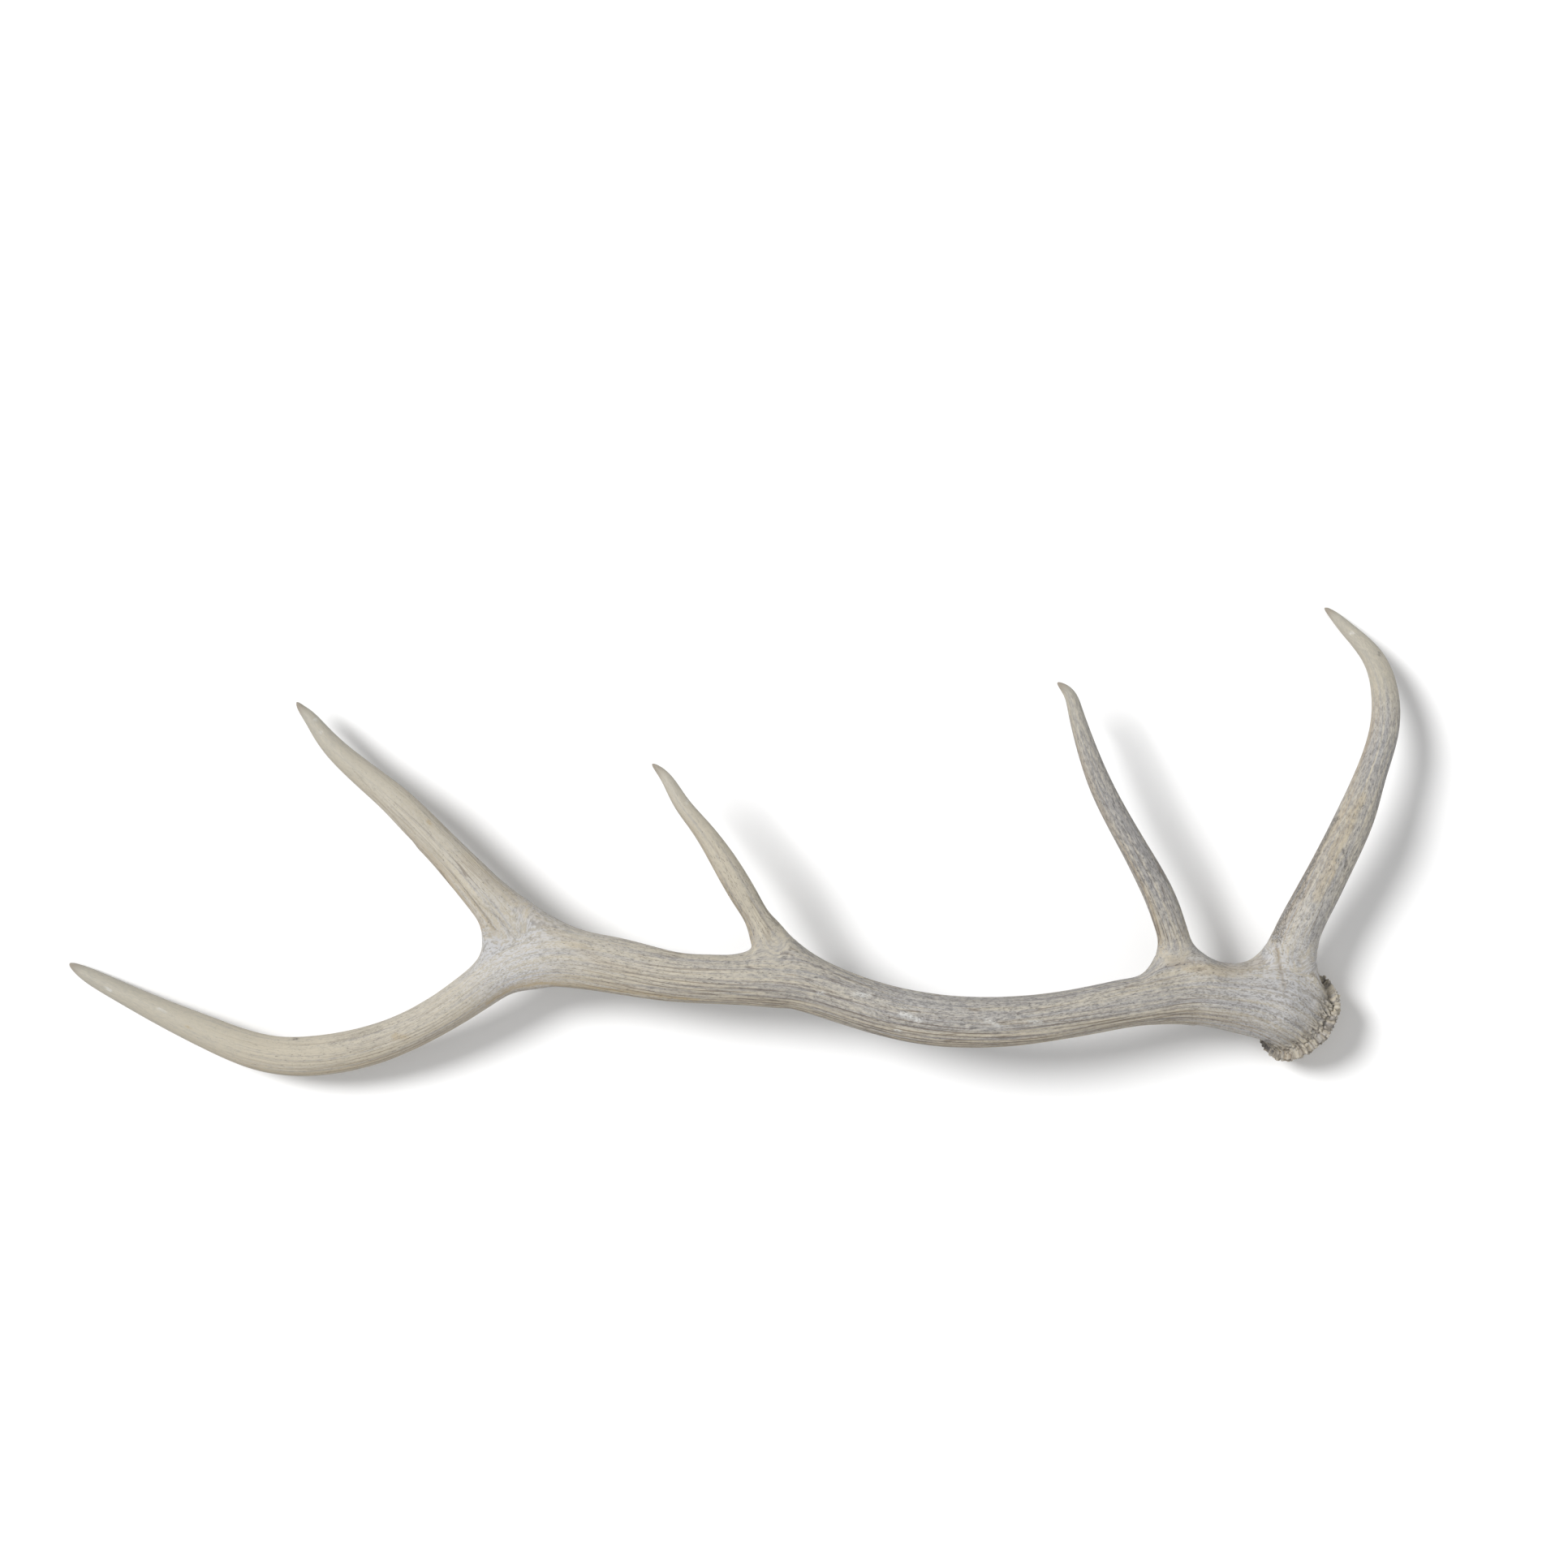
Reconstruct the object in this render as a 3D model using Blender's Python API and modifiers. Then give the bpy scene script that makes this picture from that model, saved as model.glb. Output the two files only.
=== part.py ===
"""A shed five point elk antler, lying on its inner side.

The antler grew as one branching bone.  It is modelled as one smooth cage of
sections, and then parted at its main forks into the beam with its burr, the
brow, bez and trez tines, and the two tines of the terminal fork.

Frame: metres, +Z up, the floor at Z = 0.  The beam runs along X with the burr
at +X, the tines reach towards +Y, and the origin is below the middle.
"""
import math
import random

import bmesh
import bpy
import numpy as np
from mathutils import Vector

MM = 0.001
UP = Vector((0.0, 0.0, 1.0))

# Sections of the beam from the burr to its end, in millimetres:
# x, y, z of the middle, width across the fork plane, depth towards the viewer.
BEAM = (
    (427, -131, 32, 61, 57),
    (411, -119, 48, 65, 54),
    (392, -116.2, 57, 59.6, 48),
    (362, -113.9, 69, 49.3, 42),
    (348, -109.2, 73, 55.6, 40),
    (331, -112, 76, 49, 39),
    (313, -116.5, 80, 40, 38),
    (292, -120, 84, 36, 36),
    (216, -132, 93, 37, 36),
    (136, -129, 96, 38, 36),
    (97, -118.8, 94, 38.5, 36),
    (58, -103.5, 91, 44, 38),
    (39, -102, 90, 42, 37),
    (16, -102, 88, 39, 36),
    (-46, -99.3, 81, 37.4, 34),
    (-86, -92, 76, 42, 34),
    (-125, -84.2, 71, 48.6, 35),
    (-149, -86, 67, 50, 34),
    (-173, -97, 62, 40, 31),
    (-196, -116, 57, 31, 29),
    (-232, -138, 49, 29, 28),
    (-312, -162, 37, 30, 28),
    (-354, -160, 31, 28, 27),
    (-394, -146, 25, 24, 23),
    (-432, -130, 18, 20, 19),
    (-471, -112, 10, 15, 14),
    (-493, -101, 5, 10, 10),
    (-505, -94, 2, 0, 0),
)
# The beam section at the heart of each fork, and the section past the terminal
# fork where the end of the beam is parted from it.
BROW_FORK = 1
BEZ_FORK = 5
TREZ_FORK = 12
TERMINAL_FORK = 17
BEAM_END_CUT = 19

# Sections of the tines from base to tip, in millimetres: x, y, z, width.
BROW = (
    (424, -74, 57, 36),
    (438, -43, 61, 32),
    (467, 19, 69, 28),
    (479, 50, 67, 23),
    (490, 83, 60, 22),
    (492, 114, 48, 20),
    (485, 140, 33, 16),
    (470, 160, 16, 11),
    (461, 171, 5, 7),
    (454, 178, 0.2, 0),
)
BEZ = (
    (331.3, -77, 77, 26.5),
    (326, -57, 80, 23),
    (317, -35, 84, 22),
    (303, -9, 88, 20),
    (275, 43, 88, 17),
    (265, 71, 84, 14),
    (258, 96, 77, 11),
    (253, 111, 71, 8),
    (245, 119, 66, 0),
)
TREZ = (
    (28, -68, 90, 26),
    (20.6, -55.3, 91, 19.5),
    (11, -39, 93, 20),
    (-3, -15, 95, 19),
    (-19, 9, 94, 15),
    (-35, 29, 92, 12),
    (-47, 48, 88, 8),
    (-57, 58, 86, 0),
)
FORK_UPPER = (
    (-177, -45, 66, 34),
    (-189, -32, 65, 30),
    (-210, -9, 63, 26),
    (-236, 17, 60, 25),
    (-259, 38, 56, 22),
    (-294, 67, 48, 17),
    (-314, 90, 40, 11),
    (-323, 100, 36, 6),
    (-327, 105, 34, 0),
)
# Depth of a tine's section over its width.
TINE_DEPTH = 0.94

# Each tine with its sections and the beam section that it grows from.
TINES = (
    ("brow_tine", BROW, BROW_FORK),
    ("bez_tine", BEZ, BEZ_FORK),
    ("trez_tine", TREZ, TREZ_FORK),
    ("fork_upper_tine", FORK_UPPER, TERMINAL_FORK),
)

# The burr: a ring of bony pearls around the foot of the beam, closed by the
# flat face where the antler was shed.  It is a little wider across the fork
# plane than it is deep.  Sizes in millimetres.
BURR_RADIUS = 33.0
BURR_WIDENING = 1.06
BURR_HALF_HEIGHT = 11.0
BURR_BELOW_BEAM = 4.0
SHED_FACE_HEIGHT = 5.5
PEARL_COUNT = 46
PEARL_HEIGHT = 4.5
PEARL_SIZE = 5.5
PEARL_SEED = 11

BURR_SEGMENTS = 72
BURR_ROWS = 12

SIDES = 8
TINE_SIDE = 0
TOP_SIDE = 1
UNDER_SIDE = 7
RING_STEP = 38.0
FIT_PASSES = 12
CUT_GAP = 0.3
SMOOTH_ANGLE = math.radians(40.0)

BONE_BEIGE = (0.45, 0.42, 0.36, 1.0)
BONE_GREY = (0.38, 0.36, 0.33, 1.0)
BONE_CREAM = (0.53, 0.49, 0.40, 1.0)
BONE_ROUGHNESS = 0.75

# The pieces with their colours.  A piece's number here marks its faces while
# the antler is still whole.
PIECES = {
    "main_beam": BONE_BEIGE,
    "brow_tine": BONE_GREY,
    "bez_tine": BONE_GREY,
    "trez_tine": BONE_CREAM,
    "fork_upper_tine": BONE_CREAM,
    "fork_lower_tine": BONE_CREAM,
}
PIECE_NUMBER = {name: number for number, name in enumerate(PIECES)}


def clear_scene():
    for old in list(bpy.data.objects):
        bpy.data.objects.remove(old, do_unlink=True)


def new_collection(name):
    collection = bpy.data.collections.new(name)
    bpy.context.scene.collection.children.link(collection)
    return collection


def bone(name, colour):
    """A matt dry bone material."""
    material = bpy.data.materials.new(name)
    material.use_nodes = True
    shader = material.node_tree.nodes["Principled BSDF"]
    shader.inputs["Base Color"].default_value = colour
    shader.inputs["Roughness"].default_value = BONE_ROUGHNESS
    shader.inputs["Metallic"].default_value = 0.0
    material.diffuse_color = colour
    return material


def sections_along(stations):
    """Sections on a smooth curve through the stations, with their directions.

    More are set between stations that stand far apart.  Also returns the
    number of the section at each station.
    """
    points = np.array(stations, dtype=float)
    spans = np.linalg.norm(np.diff(points[:, :3], axis=0), axis=1)
    slopes = np.gradient(points, np.concatenate(([0.0], np.cumsum(spans))), axis=0)
    sections = []
    station_at = []
    for start, span in enumerate(spans):
        station_at.append(len(sections))
        count = max(1, round(span / RING_STEP))
        p0, p1 = points[start], points[start + 1]
        m0, m1 = slopes[start] * span, slopes[start + 1] * span
        for step in range(count):
            t = step / count
            place = (
                (2 * t**3 - 3 * t**2 + 1) * p0
                + (t**3 - 2 * t**2 + t) * m0
                + (3 * t**2 - 2 * t**3) * p1
                + (t**3 - t**2) * m1
            )
            slope = (
                (6 * t**2 - 6 * t) * (p0 - p1)
                + (3 * t**2 - 4 * t + 1) * m0
                + (3 * t**2 - 2 * t) * m1
            )
            sections.append((place, Vector(slope[:3]).normalized()))
    station_at.append(len(sections))
    sections.append((points[-1], Vector(slopes[-1][:3]).normalized()))
    return sections, station_at


def add_ring(cage, section, without=()):
    """The corners of one oval section: 0 towards the tines, 2 towards +Z."""
    place, direction = section
    side = direction.cross(UP).normalized()
    over = side.cross(direction)
    ring = []
    for corner in range(SIDES):
        if corner in without:
            ring.append(None)
            continue
        turn = 2 * math.pi * corner / SIDES
        offset = side * (place[3] / 2 * math.cos(turn)) + over * (place[4] / 2 * math.sin(turn))
        ring.append(cage.verts.new((Vector(place[:3]) + offset) * MM))
    return ring


def bridge(cage, ring_a, ring_b, piece, skip=()):
    """A band of faces between two rings."""
    for corner in range(SIDES):
        if corner in skip:
            continue
        after = (corner + 1) % SIDES
        face = cage.faces.new((ring_a[corner], ring_a[after], ring_b[after], ring_b[corner]))
        face.material_index = PIECE_NUMBER[piece]


def close_end(cage, ring, place, piece):
    """Four faces from a ring to one point."""
    tip = cage.verts.new(Vector(place) * MM)
    for corner in range(0, SIDES, 2):
        face = cage.faces.new((tip, ring[corner], ring[corner + 1], ring[(corner + 2) % SIDES]))
        face.material_index = PIECE_NUMBER[piece]


def fork_mouth(rings, heart):
    """The eight corners that a tine grows from, around a fork's heart."""
    before, middle, after = rings[heart - 1], rings[heart], rings[heart + 1]
    return (
        before[TINE_SIDE],
        before[TOP_SIDE],
        middle[TOP_SIDE],
        after[TOP_SIDE],
        after[TINE_SIDE],
        after[UNDER_SIDE],
        middle[UNDER_SIDE],
        before[UNDER_SIDE],
    )


def add_tine(cage, name, mouth, stations):
    """Grow a tine out of a fork.  It is parted at its first own section."""
    full = [station + (station[3] * TINE_DEPTH,) for station in stations]
    sections, _ = sections_along(full)
    rings = [add_ring(cage, section) for section in sections[:-1]]
    bridge(cage, mouth, rings[0], "main_beam")
    for ring_a, ring_b in zip(rings, rings[1:]):
        bridge(cage, ring_a, ring_b, name)
    close_end(cage, rings[-1], sections[-1][0][:3], name)
    return sections[0]


def rest_points(cage):
    """Where the smooth surface lies over each corner of the cage."""
    found = []
    for vert in cage.verts:
        count = len(vert.link_edges)
        total = vert.co * count**2
        for edge in vert.link_edges:
            total += edge.other_vert(vert).co * 4
        for face in vert.link_faces:
            corners = list(face.verts)
            total += corners[(corners.index(vert) + 2) % 4].co
        found.append(total / (count * (count + 5)))
    return found


def fit_cage(cage):
    """Swell the cage until its smooth surface passes through the sections."""
    wanted = [vert.co.copy() for vert in cage.verts]
    for _ in range(FIT_PASSES):
        for vert, goal, rest in zip(cage.verts, wanted, rest_points(cage)):
            vert.co += goal - rest


def build_cage():
    """The cage of the whole antler, and the section that each piece starts at."""
    cage = bmesh.new()
    sections, station_at = sections_along(BEAM)
    hearts = [station_at[fork] for _, _, fork in TINES]
    end_cut = station_at[BEAM_END_CUT]
    rings = []
    for number, section in enumerate(sections[:-1]):
        rings.append(add_ring(cage, section, without=(TINE_SIDE,) if number in hearts else ()))
    for number, (ring_a, ring_b) in enumerate(zip(rings, rings[1:])):
        at_fork = number in hearts or number + 1 in hearts
        piece = "fork_lower_tine" if number >= end_cut else "main_beam"
        bridge(cage, ring_a, ring_b, piece, skip=(TINE_SIDE, UNDER_SIDE) if at_fork else ())
    foot, along_beam = sections[0]
    close_end(cage, rings[0], Vector(foot[:3]) - along_beam * BURR_BELOW_BEAM, "main_beam")
    close_end(cage, rings[-1], sections[-1][0][:3], "fork_lower_tine")

    starts = {"main_beam": sections[0], "fork_lower_tine": sections[end_cut]}
    for (name, stations, _), heart in zip(TINES, hearts):
        starts[name] = add_tine(cage, name, fork_mouth(rings, heart), stations)
    bmesh.ops.recalc_face_normals(cage, faces=cage.faces)
    return cage, {name: (Vector(place[:3]) * MM, way) for name, (place, way) in starts.items()}


def smooth_skin(cage):
    """The smooth surface over the cage, as one mesh."""
    mesh = bpy.data.meshes.new("antler_cage")
    cage.to_mesh(mesh)
    cage.free()
    whole = bpy.data.objects.new("antler_cage", mesh)
    bpy.context.scene.collection.objects.link(whole)
    smooth = whole.modifiers.new("smooth", "SUBSURF")
    smooth.levels = 1
    smooth.render_levels = 1
    depsgraph = bpy.context.evaluated_depsgraph_get()
    skin = bpy.data.meshes.new_from_object(whole.evaluated_get(depsgraph))
    bpy.data.objects.remove(whole, do_unlink=True)
    return skin


def part_piece(name, skin, starts):
    """One piece of the antler, cut off flat where it leaves its fork."""
    number = PIECE_NUMBER[name]
    origin = starts[name][0]
    cuts = [start for piece, start in starts.items() if piece != "main_beam"]
    gap_side = -1 if name == "main_beam" else 1
    shell = bmesh.new()
    shell.from_mesh(skin)
    others = [face for face in shell.faces if face.material_index != number]
    bmesh.ops.delete(shell, geom=others, context="FACES")
    rim = [edge for edge in shell.edges if edge.is_boundary]
    for vert in {vert for edge in rim for vert in edge.verts}:
        place, outward = min(cuts, key=lambda cut: (vert.co - cut[0]).length)
        beyond = (vert.co - place).dot(outward)
        vert.co += outward * (gap_side * CUT_GAP / 2 * MM - beyond)
    bmesh.ops.holes_fill(shell, edges=rim, sides=0)
    bmesh.ops.recalc_face_normals(shell, faces=shell.faces)
    for face in shell.faces:
        face.material_index = 0
    bmesh.ops.translate(shell, verts=shell.verts, vec=-origin)
    mesh = bpy.data.meshes.new(name)
    shell.to_mesh(mesh)
    shell.free()
    mesh.materials.clear()
    mesh.materials.append(bone(name, PIECES[name]))
    mesh.shade_smooth()
    mesh.set_sharp_from_angle(angle=SMOOTH_ANGLE)
    piece = bpy.data.objects.new(name, mesh)
    piece.location = origin
    return piece


def draw_pearls():
    """Turn, height and size of each pearl around the burr."""
    draw = random.Random(PEARL_SEED)
    pearls = []
    for number in range(PEARL_COUNT):
        turn = 2 * math.pi * (number + draw.uniform(-0.25, 0.25)) / PEARL_COUNT
        height = draw.uniform(-0.35, 0.35) * BURR_HALF_HEIGHT
        pearls.append((turn, height, draw.uniform(0.75, 1.2) * PEARL_SIZE))
    return pearls


def swell_at(turn, height, pearls):
    """How far the nearest pearl stands out here, from 0 to 1."""
    swell = 0.0
    for pearl_turn, pearl_height, size in pearls:
        around = (turn - pearl_turn + math.pi) % (2 * math.pi) - math.pi
        apart = math.hypot(around * BURR_RADIUS, height - pearl_height) / size
        swell = max(swell, 1.0 - apart**2)
    return swell


def add_burr(foot, along_beam, collection):
    """The pearled ring and the flat shed face at the foot of the beam."""
    bpy.ops.mesh.primitive_uv_sphere_add(segments=BURR_SEGMENTS, ring_count=BURR_ROWS, radius=1.0)
    burr = bpy.context.active_object
    burr.name = "burr_form"
    pearls = draw_pearls()
    for vert in burr.data.vertices:
        turn = math.atan2(vert.co.y, vert.co.x)
        height = vert.co.z * BURR_HALF_HEIGHT
        radius = math.hypot(vert.co.x, vert.co.y) * BURR_RADIUS
        radius += swell_at(turn, height, pearls) * PEARL_HEIGHT
        height = min(height, SHED_FACE_HEIGHT)
        across = radius * math.cos(turn) * BURR_WIDENING
        vert.co = Vector((across, radius * math.sin(turn), height)) * MM
    burr.location = foot - along_beam * BURR_BELOW_BEAM * MM
    burr.rotation_euler = (-along_beam).to_track_quat("Z", "Y").to_euler()
    for home in list(burr.users_collection):
        home.objects.unlink(burr)
    collection.objects.link(burr)
    burr.hide_render = True
    burr.display_type = "WIRE"
    return burr


clear_scene()
antler = new_collection("elk_antler")
cutters = new_collection("cutters")
middle_below = bpy.data.objects.new("antler_origin", None)
antler.objects.link(middle_below)

antler_cage, piece_starts = build_cage()
fit_cage(antler_cage)
antler_skin = smooth_skin(antler_cage)
for piece_name in PIECES:
    part = part_piece(piece_name, antler_skin, piece_starts)
    part.parent = middle_below
    antler.objects.link(part)
bpy.data.meshes.remove(antler_skin)

join_burr = bpy.data.objects["main_beam"].modifiers.new("burr", "BOOLEAN")
join_burr.operation = "UNION"
join_burr.object = add_burr(*piece_starts["main_beam"], cutters)
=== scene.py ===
"""A shed five point elk antler, lying on its inner side on a pale floor.

The antler grew as one branching bone, so all its pieces share one skin.  Each
section below gives one branch: its sections, its colours and its own marks.
The skin is then drawn over all of them, grooved, coloured and parted at the
forks.  Sizes are in millimetres until the skin is made, and then in metres.
"""
import math

import bmesh
import bpy
import numpy as np
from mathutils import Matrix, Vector, noise


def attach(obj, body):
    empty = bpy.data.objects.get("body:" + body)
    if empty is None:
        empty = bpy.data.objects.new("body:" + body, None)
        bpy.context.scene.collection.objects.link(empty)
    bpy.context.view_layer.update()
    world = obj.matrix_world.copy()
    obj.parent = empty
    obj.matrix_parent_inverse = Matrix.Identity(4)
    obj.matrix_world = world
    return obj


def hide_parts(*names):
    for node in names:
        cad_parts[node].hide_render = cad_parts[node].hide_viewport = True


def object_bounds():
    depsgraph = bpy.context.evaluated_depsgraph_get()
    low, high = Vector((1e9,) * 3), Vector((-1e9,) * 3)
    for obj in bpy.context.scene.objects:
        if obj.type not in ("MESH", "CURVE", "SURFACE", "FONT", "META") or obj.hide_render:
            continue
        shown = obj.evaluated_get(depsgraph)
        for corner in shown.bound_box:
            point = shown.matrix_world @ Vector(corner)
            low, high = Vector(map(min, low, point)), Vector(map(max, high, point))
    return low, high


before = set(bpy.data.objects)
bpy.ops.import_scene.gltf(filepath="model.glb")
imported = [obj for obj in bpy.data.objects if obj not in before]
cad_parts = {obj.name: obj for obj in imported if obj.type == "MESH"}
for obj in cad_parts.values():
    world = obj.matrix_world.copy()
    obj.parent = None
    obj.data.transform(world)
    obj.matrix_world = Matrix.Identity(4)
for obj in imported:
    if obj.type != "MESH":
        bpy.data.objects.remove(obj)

MM = 0.001
cad_low, cad_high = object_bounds()

# ---------------------------------------------------------------------------
# The beam: the main stem of the antler, from its foot on the skull to the
# lower tine of the end fork.  Dry weathered bone, oval in section, with long
# grooves on its outer side where blood vessels lay on it while it grew.
# ---------------------------------------------------------------------------

# Sections from the burr to the end: x, y, z of the middle, width across the
# fork plane, depth away from the floor.
BEAM = (
    (427, -131, 32, 61, 57),
    (411, -119, 48, 65, 54),
    (392, -116.2, 57, 59.6, 48),
    (362, -113.9, 69, 49.3, 42),
    (348, -109.2, 73, 55.6, 40),
    (331, -112, 76, 49, 39),
    (313, -116.5, 80, 40, 38),
    (292, -120, 84, 36, 36),
    (216, -132, 93, 37, 36),
    (136, -129, 96, 38, 36),
    (97, -118.8, 94, 38.5, 36),
    (58, -103.5, 91, 44, 38),
    (39, -102, 90, 42, 37),
    (16, -102, 88, 39, 36),
    (-46, -99.3, 81, 37.4, 34),
    (-86, -92, 76, 42, 34),
    (-125, -84.2, 71, 48.6, 35),
    (-149, -86, 67, 50, 34),
    (-173, -97, 62, 40, 31),
    (-196, -116, 57, 31, 29),
    (-232, -138, 49, 29, 28),
    (-312, -162, 37, 30, 28),
    (-354, -160, 31, 28, 27),
    (-394, -146, 25, 24, 23),
    (-432, -130, 18, 20, 19),
    (-471, -112, 10, 15, 14),
    (-493, -101, 5, 10, 10),
    (-505, -94, 2, 0, 0),
)
# Which of these sections is the heart of each fork, and where the end of the
# beam is parted off as the lower tine.
BROW_FORK = 1
BEZ_FORK = 5
TREZ_FORK = 12
END_FORK = 17
BEAM_END_CUT = 19

# The look of the bone along the beam: distance from the burr, then how far it
# is cream, grey, chalky, flecked, grooved and polished, each from 0 to 1.
BEAM_LOOK = (
    (0, 0.50, 0.25, 0.55, 0.30, 0.50, 0.0),
    (30, 0.35, 0.10, 1.00, 0.40, 0.30, 0.0),
    (70, 0.30, 0.35, 0.75, 0.60, 0.35, 0.0),
    (115, 0.40, 0.60, 0.25, 0.85, 0.55, 0.0),
    (220, 0.35, 0.80, 0.25, 0.85, 0.75, 0.0),
    (320, 0.28, 0.90, 0.40, 0.90, 0.80, 0.0),
    (410, 0.38, 0.60, 0.10, 0.80, 0.60, 0.0),
    (500, 0.65, 0.40, 0.20, 0.90, 0.60, 0.0),
    (570, 0.60, 0.25, 0.40, 0.55, 0.30, 0.0),
    (600, 0.50, 0.10, 1.00, 0.20, 0.15, 0.0),
    (625, 0.40, 0.05, 1.00, 0.15, 0.10, 0.0),
    (665, 0.75, 0.20, 0.40, 0.50, 0.35, 0.0),
    (740, 0.85, 0.25, 0.10, 0.65, 0.45, 0.0),
    (830, 0.95, 0.15, 0.00, 0.30, 0.30, 0.1),
    (900, 1.00, 0.10, 0.00, 0.10, 0.10, 0.6),
    (997, 0.80, 0.60, 0.00, 0.05, 0.00, 0.9),
)

# The longest line on the beam, as x, y seen from above.  It runs from the burr
# to the end fork, with others beside it.
LONG_LINE = (
    (418, -142), (404, -133), (384, -126), (357, -123), (313, -122), (274, -130),
    (236, -137), (197, -140), (159, -138), (112, -133), (65, -117), (21, -109),
    (-22, -102), (-70, -97), (-110, -93),
)


def beside(path, shift):
    """The same path, set further from the tines."""
    return tuple((x, y - shift) for x, y in path)


# Marks on the beam: kind, radius and strength, and the path of each as x, y seen from above.  A
# furrow is a fine groove, a ridge is a welt and cream is a pale line.  Ochre and soot are stains,
# and a chip is a pale scuff; the soot mark under the burr's rim is painted shade.
BEAM_MARKS = (
    ("furrow", 1.2, 0.50, LONG_LINE),
    ("cream", 2.3, 0.90, beside(LONG_LINE, 2.6)),
    ("furrow", 1.2, 0.55, beside(LONG_LINE, 5.2)),
    ("cream", 1.8, 0.70, beside(LONG_LINE, 7.2)),
    ("furrow", 1.2, 0.50, beside(LONG_LINE, 9.0)),
    ("cream", 1.5, 0.60, beside(LONG_LINE, 11.0)),
    ("chip", 2.8, 0.75, ((126, -125), (133, -127), (140, -131))),
    ("chip", 2.2, 0.65, ((190, -130), (199, -135))),
    ("chip", 2.0, 0.55, ((221, -131), (229, -132))),
    ("chip", 2.4, 0.6, ((93, -111), (103, -112))),
    ("chip", 2.4, 0.5, ((66, -110), (70, -111))),
    ("chip", 1.6, 0.8, ((124, -138), (127, -139))),
    ("soot_and_shade", 1.3, 1.0, ((179, -136), (182, -136.4))),
    ("ochre", 7.5, 0.4, ((329, -88), (347, -93), (362, -95), (382, -95), (396, -89))),
    ("soot_and_shade", 5.5, 0.20, ((314, -103), (343, -109), (374, -116))),
    ("ochre", 2.0, 0.8, (
        (-181, -121), (-161, -109), (-140, -105), (-119, -107), (-71, -111), (-23, -117),
    )),
    ("furrow", 1.2, 0.35, (
        (-196, -34), (-184, -47), (-172, -56), (-158, -66), (-145, -73), (-130, -82),
    )),
    ("soot_and_shade", 2.0, 0.3, ((-172, -76), (-168, -80))),
    ("soot_and_shade", 2.2, 0.25, ((-140, -84), (-128, -90), (-117, -94))),
    # Painted shade where the burr's rim overhangs the beam.
    ("soot_and_shade", 5.0, 1.0, ((403, -151), (408, -157), (414, -162))),
)

# A section has eight corners.  The first points towards the tines, and the ones
# beside it lie above and below.
SIDES = 8
TINE_SIDE = 0
TOP_SIDE = 1
UNDER_SIDE = 7
RING_STEP = 38.0
UP = Vector((0.0, 0.0, 1.0))

# Each piece's number marks its faces while the antler is still whole.
PIECES = ("main_beam", "brow_tine", "bez_tine", "trez_tine", "fork_upper_tine", "fork_lower_tine")
PIECE_NUMBER = {name: number for number, name in enumerate(PIECES)}


def sections_along(stations, step):
    """Sections on a smooth curve through the stations, with their directions.

    Stations further apart than the step get more between them.  Also returns
    the number of the section at each station.
    """
    points = np.array(stations, dtype=float)
    spans = np.linalg.norm(np.diff(points[:, :3], axis=0), axis=1)
    slopes = np.gradient(points, np.concatenate(([0.0], np.cumsum(spans))), axis=0)
    sections = []
    station_at = []
    for start, span in enumerate(spans):
        station_at.append(len(sections))
        count = max(1, round(span / step))
        p0, p1 = points[start], points[start + 1]
        m0, m1 = slopes[start] * span, slopes[start + 1] * span
        for number in range(count):
            t = number / count
            place = (
                (2 * t**3 - 3 * t**2 + 1) * p0
                + (t**3 - 2 * t**2 + t) * m0
                + (3 * t**2 - 2 * t**3) * p1
                + (t**3 - t**2) * m1
            )
            slope = (
                (6 * t**2 - 6 * t) * (p0 - p1)
                + (3 * t**2 - 4 * t + 1) * m0
                + (3 * t**2 - 2 * t) * m1
            )
            sections.append((place, Vector(slope[:3]).normalized()))
    station_at.append(len(sections))
    sections.append((points[-1], Vector(slopes[-1][:3]).normalized()))
    return sections, station_at


def add_ring(cage, section, without=()):
    """The corners of one oval section: 0 towards the tines, 2 towards +Z."""
    place, direction = section
    side = direction.cross(UP).normalized()
    over = side.cross(direction)
    ring = []
    for corner in range(SIDES):
        if corner in without:
            ring.append(None)
            continue
        turn = 2 * math.pi * corner / SIDES
        offset = side * (place[3] / 2 * math.cos(turn)) + over * (place[4] / 2 * math.sin(turn))
        ring.append(cage.verts.new(Vector(place[:3]) + offset))
    return ring


def bridge(cage, ring_a, ring_b, piece, skip=()):
    """A band of faces between two rings."""
    for corner in range(SIDES):
        if corner in skip:
            continue
        after = (corner + 1) % SIDES
        face = cage.faces.new((ring_a[corner], ring_a[after], ring_b[after], ring_b[corner]))
        face.material_index = PIECE_NUMBER[piece]


def close_end(cage, ring, place, piece):
    """Four faces from a ring to one point."""
    tip = cage.verts.new(Vector(place))
    for corner in range(0, SIDES, 2):
        face = cage.faces.new((tip, ring[corner], ring[corner + 1], ring[(corner + 2) % SIDES]))
        face.material_index = PIECE_NUMBER[piece]


cage = bmesh.new()
beam_sections, station_at = sections_along(BEAM, RING_STEP)
fork_hearts = [station_at[fork] for fork in (BROW_FORK, BEZ_FORK, TREZ_FORK, END_FORK)]
beam_rings = []
for number, section in enumerate(beam_sections[:-1]):
    missing = (TINE_SIDE,) if number in fork_hearts else ()
    beam_rings.append(add_ring(cage, section, without=missing))
for number, (ring_a, ring_b) in enumerate(zip(beam_rings, beam_rings[1:])):
    at_fork = number in fork_hearts or number + 1 in fork_hearts
    piece_name = "fork_lower_tine" if number >= station_at[BEAM_END_CUT] else "main_beam"
    bridge(cage, ring_a, ring_b, piece_name, skip=(TINE_SIDE, UNDER_SIDE) if at_fork else ())
close_end(cage, beam_rings[-1], beam_sections[-1][0][:3], "fork_lower_tine")

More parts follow.
